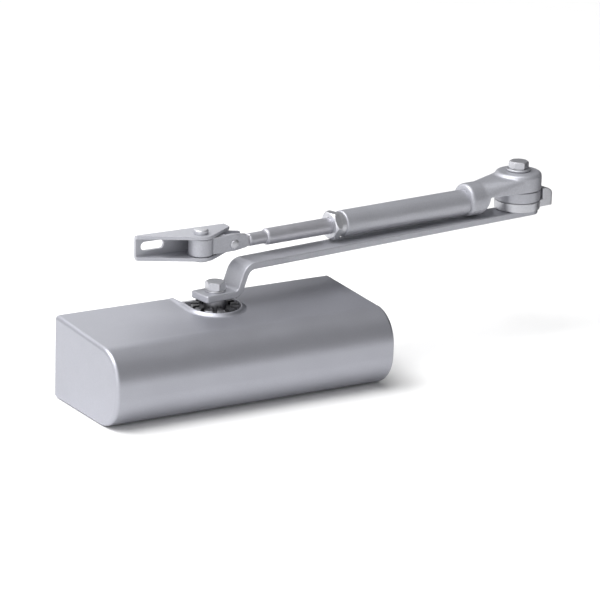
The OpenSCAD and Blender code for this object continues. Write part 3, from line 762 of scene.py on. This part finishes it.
def insert_profile():
    """The threaded insert's section: a collar that shows past the tube, and a plug inside it."""
    t0, t1 = tube_t[1], insert_end
    thread_r = rod_r + 0.05
    collar = [(insert_r - 0.5, t1), (insert_r - 0.15, t1 - 0.15), (insert_r, t1 - 0.5),
              (insert_r, t0 + 0.7), (insert_r - 0.3, t0 + 0.4), (insert_r - 0.3, t0 + 0.02)]
    plug = [(6.98, t0 + 0.02), (6.98, t0 - insert_l + 0.5), (6.5, t0 - insert_l)]
    return [(thread_r, t1)] + collar + plug + [(thread_r, t0 - insert_l)]


piece("insert", lathe(insert_profile(), closed=True), on_forearm, "forearm", zinc,
      ["tube_insert"])
nut = hex_solid(nut_af, nut_t[0], nut_t[1], 9.4, 9.0, bore=rod_r + 0.05, fall=38)
piece("nut", moved(nut, turn(30, "Z")), on_forearm, "lock_nut", zinc, ["lock_nut"])


def rod():
    """The rod with its rounded shoulder, its neck, and its flat end with the rivet's eye."""
    step = rod_r - neck_r
    profile = [(0, rod_t), (rod_r - 0.6, rod_t), (rod_r, rod_t + 0.6)]
    profile += [(neck_r + step * math.cos(a), shoulder_t - 0.5 + shoulder_l * math.sin(a)) for a in quarter()]
    profile += [(neck_r - 2 + 2 * math.cos(a), neck_t - 2 + 2 * math.sin(a)) for a in quarter()]
    profile += [(0, neck_t)]
    bm = moved(lathe(profile), turn(90, "Y"), shift(0, 0, fore_z))
    start = shoulder_t + 6
    tongue = [(start, -tongue_half), (rivet_t, -tongue_half), (rivet_t, tongue_half), (start, tongue_half)]
    flat = moved(plate(tongue, [0] * 4, -flat_half, flat_half, 0.3, 0.3), turn(90, "X"), shift(0, 0, fore_z))
    eye = moved(turned(eye_r, -flat_half, flat_half, 0.3, 0.3), at_rivet)
    return fuse(bm, flat, eye)


piece("rod_bar", rod(), along_forearm, "rod", drawn_steel, ["adjusting_rod"])

# ---- Swivel fork -----------------------------------------------------------

fork_lo, fork_hi = box("swivel_fork")
barrel_r = 8.7
cheek_w = 12.0
cheek_gap = 6.1
slot_reach = 18.5       # from the pivot to the inner end of the gap between the cheeks
nose_reach = 12.0
nose_w = 9.0
pin_r = 4.0
rivet_r = 2.5
rivet_head_r = 3.6


def fork():
    """The barrel round the pivot pin, and two cheeks that taper towards the rod."""
    z0, z1 = fork_lo.z, fork_hi.z
    barrel = moved(turned(barrel_r, z0, z1, 0.5, 0.5), shift(fore_length, 0, 0))
    tip = rivet_t - nose_reach
    side = [(fore_length, z0 + 0.2), (fore_length, z1 - 0.2), (rivet_t, z1 - 0.2), (tip, fore_z + 6.2),
            (tip, fore_z - 3.6), (rivet_t, z0 + 0.2)]
    plan = [(fore_length, -cheek_w / 2), (fore_length, cheek_w / 2), (rivet_t - 2, cheek_w / 2),
            (tip, nose_w / 2), (tip, -nose_w / 2), (rivet_t - 2, -cheek_w / 2)]
    solid = combined(prism_y(side, cheek_w), "INTERSECT", prism_z(plan, under_all, over_all))
    nose = moved(turned(nose_reach, -20, 20, 0, 0), at_rivet)
    nose = fuse(nose, block(rivet_t, fore_length + 20, -20, 20, under_all, over_all))
    cheeks = combined(solid, "INTERSECT", nose)
    body = cast(fuse(barrel, cheeks), voxel=0.3, smoothing=5)
    gap = block(tip - 10, fore_length - slot_reach, -cheek_gap / 2, cheek_gap / 2, under_all, over_all)
    pin_hole = moved(turned(pin_r + 0.05, under_all, over_all, 0, 0, steps=64), shift(fore_length, 0, 0))
    rivet_hole = moved(turned(rivet_r + 0.02, -20, 20, 0, 0, steps=48), at_rivet)
    return cut(body, gap, pin_hole, rivet_hole)


piece("fork_block", fork(), along_forearm, "fork", cast_paint, ["swivel_fork"])


def rivet_solid():
    """A rivet with two domed heads."""
    seat = cheek_w / 2 + 0.02
    dome = [(rivet_head_r * math.cos(a), seat + 0.25 + 1.2 * math.sin(a)) for a in quarter()]
    half = [(rivet_r, 0), (rivet_r, seat), (rivet_head_r, seat)] + dome
    profile = [(r, -z) for r, z in half[::-1]] + half[1:]
    return moved(lathe(profile, 64), at_rivet)


piece("rivet", rivet_solid(), along_forearm, "fork", zinc, ["fork_rivet"])

# ---- Frame bracket ---------------------------------------------------------

bracket_lo, bracket_hi = box("frame_bracket")
sheet = 2.4
web_x = (bracket_lo.x - pivot.x, bracket_hi.x - pivot.x)
web_y = bracket_hi.y - pivot.y
web_fold = 2.8          # outer radius of the two folds
ear_r = 9.5
ear_back = -30.0        # how far forward the flanges run before the ears are cut from them
slot_l = 18.5
slot_w = 6.4
slot_x = (-30.25, 13.75)


def bracket():
    """A channel folded from sheet: web, two ears round the pin, two slots."""
    z0, z1 = bracket_lo.z, bracket_hi.z
    outer = [(ear_back, z0), (web_y, z0), (web_y, z1), (ear_back, z1)]
    outer = rounded(outer, [0, web_fold, web_fold, 0])
    inner = [(ear_back - 10, z0 + sheet), (web_y - sheet, z0 + sheet), (web_y - sheet, z1 - sheet),
             (ear_back - 10, z1 - sheet)]
    inner = rounded(inner, [0, 0.6, 0.6, 0])
    channel = loft([[Vector((x, p.x, p.y)) for p in outer] for x in web_x])
    space = loft([[Vector((x, p.x, p.y)) for p in inner] for x in (web_x[0] - 5, web_x[1] + 5)])
    channel = cut(channel, space)
    plan = [(web_x[0], web_y + 1), (web_x[0], web_y - 4)] + arc(0, 0, ear_r, 242, 308, 11)
    plan += [(web_x[1], web_y - 10), (web_x[1], web_y + 1)]
    channel = combined(channel, "INTERSECT", prism_z(plan, z0 - 1, z1 + 1))
    channel = cut(channel, turned(pin_r + 0.02, z0 - 1, z1 + 1, 0, 0, steps=64))
    mid = (z0 + z1) / 2 + 0.3
    reach = slot_l / 2 - slot_w / 2
    for x in slot_x:
        ends = arc(x + reach, mid, slot_w / 2, -90, 90, 12) + arc(x - reach, mid, slot_w / 2, 90, 270, 12)
        channel = cut(channel, prism_y(ends, 80))
    return bevelled(channel, width=0.35, segments=3, angle=35)


piece("bracket_channel", bracket(), at_pivot, "bracket", arm_paint, ["frame_bracket"])


def pin():
    """The pivot pin with its low domed head."""
    lo, hi = box("pivot_pin")
    seat = bracket_hi.z + 0.02
    head_r = 5.3
    profile = [(0, lo.z), (pin_r - 0.6, lo.z), (pin_r, lo.z + 0.6), (pin_r, seat), (head_r - 0.2, seat)]
    profile.append((head_r, seat + 0.2))
    profile += [(head_r - 1.2 * (1 - math.cos(a)), hi.z - 1.2 + math.sin(a)) for a in quarter()]
    return lathe(profile + [(0, hi.z)])


piece("pin_body", pin(), at_pivot, "bracket", zinc, ["pivot_pin"])

# ---- Springs ---------------------------------------------------------------


def spring(node, place, length, body, mid_r, wire_r, turns, hand):
    """A coil from its fixed end at the place's origin, along Z."""
    per_turn = 36
    count = turns * per_turn
    rings = []
    for i in range(count + 1):
        a = hand * math.tau * i / per_turn
        wire = arc(mid_r, wire_r + (length - 2 * wire_r) * i / count, wire_r, 0, 330, 11)
        rings.append([Vector((p.x * math.cos(a), p.x * math.sin(a), p.y)) for p in wire])
    coil = piece(node + "_coil", loft(rings), place, body, spring_steel, [node])
    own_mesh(coil)


spring_lo, spring_hi = box("outer_spring")
spring_l = spring_hi.x - spring_lo.x
in_bore = shift(spring_lo.x, pinion.y, 0) @ turn(90, "Y")
spring("outer_spring", in_bore, spring_l, "closer_body",
       mid_r=12.2, wire_r=1.9, turns=8, hand=1)
spring("inner_spring", in_bore, spring_l, "closer_body",
       mid_r=6.8, wire_r=1.2, turns=11, hand=-1)
catch_lo, catch_hi = box("detent_spring")
catch_y = 12.0
in_catch = along_forearm @ shift(0, catch_y, catch_hi.z) @ turn(180, "X")
spring("detent_spring", in_catch, catch_hi.z - catch_lo.z, "forearm",
       mid_r=2.0, wire_r=0.35, turns=3, hand=1)

# ---- CAD nodes that stay as they are ---------------------------------------

looks = {
    die_cast: ["housing"],
    zinc: ["arm_washer", "elbow_washer", "mounting_plate"],
    turned_steel: ["spring_end_plug", "pressure_end_plug", "upper_bearing", "lower_bearing", "lower_cap",
                   "pinion_shaft", "piston", "check_ball", "detent_ball", "elbow_bush"],
    # the gland nut takes the near-black colour that paints the notch's shade
    gland_steel_painted_shade: ["gland_nut"],
    rubber: ["plug_seals", "shaft_seal", "piston_rings"],
    brass: ["check_valve_seat", "closing_speed_valve", "latching_speed_valve"],
    black_steel: ["pin_retainer", "body_screws"],
}
for look, names in looks.items():
    for name in names:
        mesh = frame["nodes"][name].data
        mesh.materials.clear()
        mesh.materials.append(look)

# Broken edges on the CAD pieces that show from outside
for name in ("gland_nut", "housing", "mounting_plate", "arm_washer", "elbow_washer", "body_screws"):
    weld = frame["nodes"][name].modifiers.new("weld", "WELD")
    weld.merge_threshold = 0.01 * MM
    broken = frame["nodes"][name].modifiers.new("broken edges", "BEVEL")
    broken.width = 0.2 * MM
    broken.segments = 2
    broken.limit_method = "ANGLE"
    broken.angle_limit = math.radians(40)

# ---- Floor, light and camera -----------------------------------------------

floor_z = cover_lo.z
floor_half = 4000.0
floor_paint = finish("floor", (0.86, 0.86, 0.86), metallic=0.0, roughness=0.7, mottle=0.004,
                     grain=(300.0, 0.004), relief=0.0)
card_paint = finish("card", (0.012, 0.012, 0.014), metallic=0.0, roughness=0.9, mottle=0.0,
                    grain=(300.0, 0.0), relief=0.0)


def studio_block(name, shape, paint):
    """A block of the studio, which isn't part of the object."""
    obj = to_object(moved(shape, Matrix.Scale(MM, 4)))
    obj.name = name
    obj.data.materials.append(paint)
    return obj


floor_shape = block(-floor_half, floor_half, -floor_half, floor_half, floor_z - 20, floor_z - 0.05)
floor = studio_block("floor", floor_shape, floor_paint)

# A black card to the right of the elbow, which only reflections show
card_x, card_y, card_top = 345.0, (-28.0, 420.0), 330.0
card = studio_block("card", block(card_x, card_x + 5, *card_y, floor_z, card_top), card_paint)
card.visible_camera = False
card.visible_diffuse = False
card.visible_shadow = False


def direction(azimuth, elevation):
    """The direction towards an azimuth round the object, in degrees, where 0 is its front."""
    a, e = math.radians(azimuth), math.radians(elevation)
    return Vector((math.sin(a) * math.cos(e), -math.cos(a) * math.cos(e), math.sin(e)))


def add_lamp(name, kind, towards, place, **settings):
    """A lamp at a place in metres, whose light comes from a direction."""
    lamp = bpy.data.lights.new(name, kind)
    for key, value in settings.items():
        setattr(lamp, key, value)
    obj = bpy.data.objects.new(name, lamp)
    obj.location = place
    obj.rotation_euler = towards.to_track_quat("Z", "Y").to_euler()
    obj.visible_camera = False
    scene.collection.objects.link(obj)


def softbox(name, azimuth, elevation, target, distance, size, power):
    """A soft square light that looks at a target, in metres and watts."""
    towards = direction(azimuth, elevation)
    place = Vector(target) + towards * distance
    add_lamp(name, "AREA", towards, place, shape="SQUARE", size=size, energy=power)


add_lamp("key", "SUN", direction(-90, 70), Vector((0, 0, 2)), energy=2.25, angle=math.radians(50))
softbox("rear left", 163, 36, target=(-0.06, -0.03, 0.03), distance=0.38, size=0.28, power=0.32)
softbox("floor left", -120, 82, target=(-0.50, 0.15, -0.03), distance=1.0, size=0.8, power=8.0)
softbox("front left", -60, 9, target=(0.02, -0.05, 0.03), distance=1.2, size=0.7, power=2.6)

# The sky is bright at the left and dark at the right
world = bpy.data.worlds.new("studio")
world.use_nodes = True
sky = world.node_tree
where = add_node(sky, "ShaderNodeTexCoord").outputs["Generated"]
bright_side = tuple(direction(-80, 5))
facing = add_node(sky, "ShaderNodeVectorMath", {0: where, 1: bright_side}, operation="DOT_PRODUCT")
glow = spread(sky, facing.outputs["Value"], low=0.03, high=1.05, start=-0.62, end=0.9)
sky.links.new(glow, sky.nodes["Background"].inputs["Strength"])
sky.nodes["Background"].inputs["Color"].default_value = (1.0, 1.0, 1.0, 1.0)
scene.world = world
scene.view_settings.view_transform = "Standard"

camera_azimuth = -31.726
camera_elevation = 17.072
camera_roll = 1.697
camera_distance = 2500.0
camera_target = Vector((54.28, -52.48, 33.26))


def make_camera():
    """A camera that looks at its target from an azimuth and elevation, rolled to the left."""
    a, r = math.radians(camera_azimuth), math.radians(camera_roll)
    back = direction(camera_azimuth, camera_elevation)
    right = Vector((math.cos(a), math.sin(a), 0))
    up = back.cross(right)
    axes = [right * math.cos(r) + up * math.sin(r), up * math.cos(r) - right * math.sin(r), back]
    data = bpy.data.cameras.new("camera")
    data.lens = 214.2
    data.sensor_width = 36.0
    data.clip_end = 50.0
    obj = bpy.data.objects.new("camera", data)
    place = Matrix([[axis[i] for axis in axes] for i in range(3)]).to_4x4()
    place.translation = (camera_target + back * camera_distance) * MM
    obj.matrix_world = place
    scene.collection.objects.link(obj)
    scene.camera = obj


make_camera()
